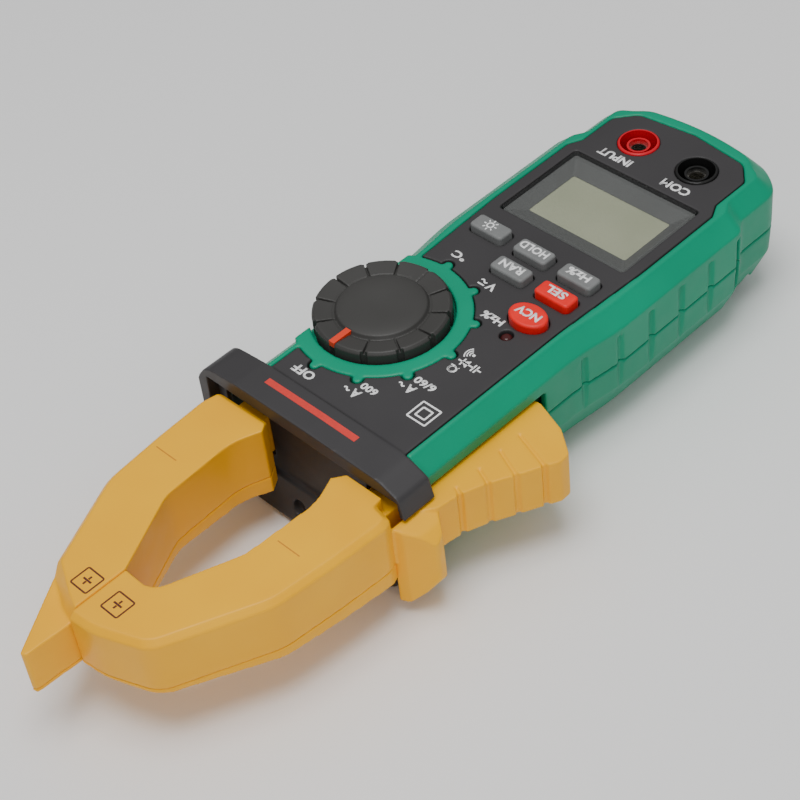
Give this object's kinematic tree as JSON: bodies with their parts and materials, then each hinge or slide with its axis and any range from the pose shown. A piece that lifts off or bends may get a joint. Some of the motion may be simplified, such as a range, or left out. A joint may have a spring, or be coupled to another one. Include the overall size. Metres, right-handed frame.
{
  "type": "clamp meter",
  "caption": "Hand-held clamp meter with two geared jaws worked by a side trigger, a rotary function switch, a display, keys and test-lead sockets.",
  "frame": {"origin": "on the flat back face, on the centre plane of the case, under the middle of the case (the jaw tips are at +155 mm, the socket end at -70.6 mm)", "axes": "+Z comes out of the display, +Y points at the jaw tips, +X is the side of the function switch"},
  "size_m": [0.0834, 0.2255, 0.0403],
  "materials": {
    "case_green": "satin",
    "case_rear_green": "satin",
    "plate_grey": "satin",
    "guard_black": "satin",
    "jaw_yellow": "satin",
    "lens_clear": "clear gloss",
    "frame_grey": "satin",
    "lcd": "smooth",
    "diffuser_white": "frosted",
    "strip_rubber": "soft",
    "board_green": "solder mask",
    "chip_black": "moulded",
    "thermistor_green": "dipped",
    "buzzer_black": "moulded",
    "lamp_red": "tinted",
    "socket_red": "gloss",
    "socket_black": "gloss",
    "sleeve_metal": "nickel plated",
    "button_grey": "satin",
    "button_red": "satin",
    "keypad_rubber": "matt",
    "knob_grey": "satin",
    "pointer_red": "satin",
    "rotor_plastic": "moulded",
    "spring_steel": "bright",
    "contact_metal": "nickel plated",
    "cell_steel": "wrapped",
    "screw_steel": "zinc plated",
    "pin_steel": "ground",
    "core_steel": "laminated",
    "bobbin_plastic": "moulded",
    "winding_copper": "enamelled copper wire",
    "gear_plastic": "acetal"
  },
  "bodies": {
    "case": {"front_case": "case_green", "rear_case": "case_rear_green", "face_plate": "plate_grey", "lower_guard": "guard_black", "display_lens": "lens_clear", "display_frame": "frame_grey", "display_glass": "lcd", "backlight_diffuser": "diffuser_white", "display_connector_strip": "strip_rubber", "main_board": "board_green", "board_chips": "chip_black", "input_thermistor": "thermistor_green", "buzzer": "buzzer_black", "voltage_lamp": "lamp_red", "input_socket": "socket_red", "input_socket_sleeve": "sleeve_metal", "common_socket": "socket_black", "common_socket_sleeve": "sleeve_metal", "keypad_membrane": "keypad_rubber", "battery_cells": "cell_steel", "battery_contacts": "contact_metal", "battery_springs": "spring_steel", "battery_door": "case_rear_green", "battery_door_screw": "screw_steel", "case_screws": "screw_steel", "trigger_jaw_pin": "pin_steel", "hook_jaw_pin": "pin_steel", "return_spring": "spring_steel"},
    "dial": {"dial_knob": "knob_grey", "dial_pointer": "pointer_red", "switch_rotor": "rotor_plastic", "switch_wipers": "contact_metal"},
    "trigger_arm": {"trigger_jaw": "jaw_yellow", "trigger_jaw_cover": "jaw_yellow", "trigger_core": "core_steel", "trigger_bobbin": "bobbin_plastic", "trigger_winding": "winding_copper", "trigger_gear": "gear_plastic"},
    "hook_arm": {"hook_jaw": "jaw_yellow", "hook_jaw_cover": "jaw_yellow", "hook_core": "core_steel", "hook_bobbin": "bobbin_plastic", "hook_winding": "winding_copper", "hook_gear": "gear_plastic"},
    "backlight_key": {"backlight_button": "button_grey"},
    "hold_key": {"hold_button": "button_grey"},
    "range_key": {"range_button": "button_grey"},
    "frequency_key": {"frequency_button": "button_grey"},
    "select_key": {"select_button": "button_red"},
    "voltage_sense_key": {"voltage_sense_button": "button_red"}
  },
  "joints": [
    {"name": "trigger_turn", "type": "hinge", "parent": "case", "child": "trigger_arm", "pos_m": [-0.017, 0.056, 0.02], "axis": [0, 0, 1], "range_deg": [0, 10], "stiffness_Nm_per_rad": 1.2, "springref_deg": -20.05, "deforming": ["return_spring"]},
    {"name": "hook_turn", "type": "hinge", "parent": "case", "child": "hook_arm", "pos_m": [0.017, 0.056, 0.02], "axis": [0, 0, 1], "range_deg": [-10, 0]},
    {"name": "dial_turn", "type": "hinge", "parent": "case", "child": "dial", "pos_m": [0.0149, 0.0354, 0.035], "axis": [0, 0, 1], "range_deg": [0, 180]},
    {"name": "backlight_press", "type": "slide", "parent": "case", "child": "backlight_key", "axis": [0, 0, -1], "range_m": [0, 0.0008], "stiffness_N_per_m": 1500, "springref_m": -0.0006},
    {"name": "hold_press", "type": "slide", "parent": "case", "child": "hold_key", "axis": [0, 0, -1], "range_m": [0, 0.0008], "stiffness_N_per_m": 1500, "springref_m": -0.0006},
    {"name": "range_press", "type": "slide", "parent": "case", "child": "range_key", "axis": [0, 0, -1], "range_m": [0, 0.0008], "stiffness_N_per_m": 1500, "springref_m": -0.0006},
    {"name": "frequency_press", "type": "slide", "parent": "case", "child": "frequency_key", "axis": [0, 0, -1], "range_m": [0, 0.0008], "stiffness_N_per_m": 1500, "springref_m": -0.0006},
    {"name": "select_press", "type": "slide", "parent": "case", "child": "select_key", "axis": [0, 0, -1], "range_m": [0, 0.0008], "stiffness_N_per_m": 1500, "springref_m": -0.0006},
    {"name": "voltage_sense_press", "type": "slide", "parent": "case", "child": "voltage_sense_key", "axis": [0, 0, -1], "range_m": [0, 0.0008], "stiffness_N_per_m": 1500, "springref_m": -0.0006}
  ],
  "couplings": [
    {"joint": "hook_turn", "follows": "trigger_turn", "ratio": -1}
  ]
}
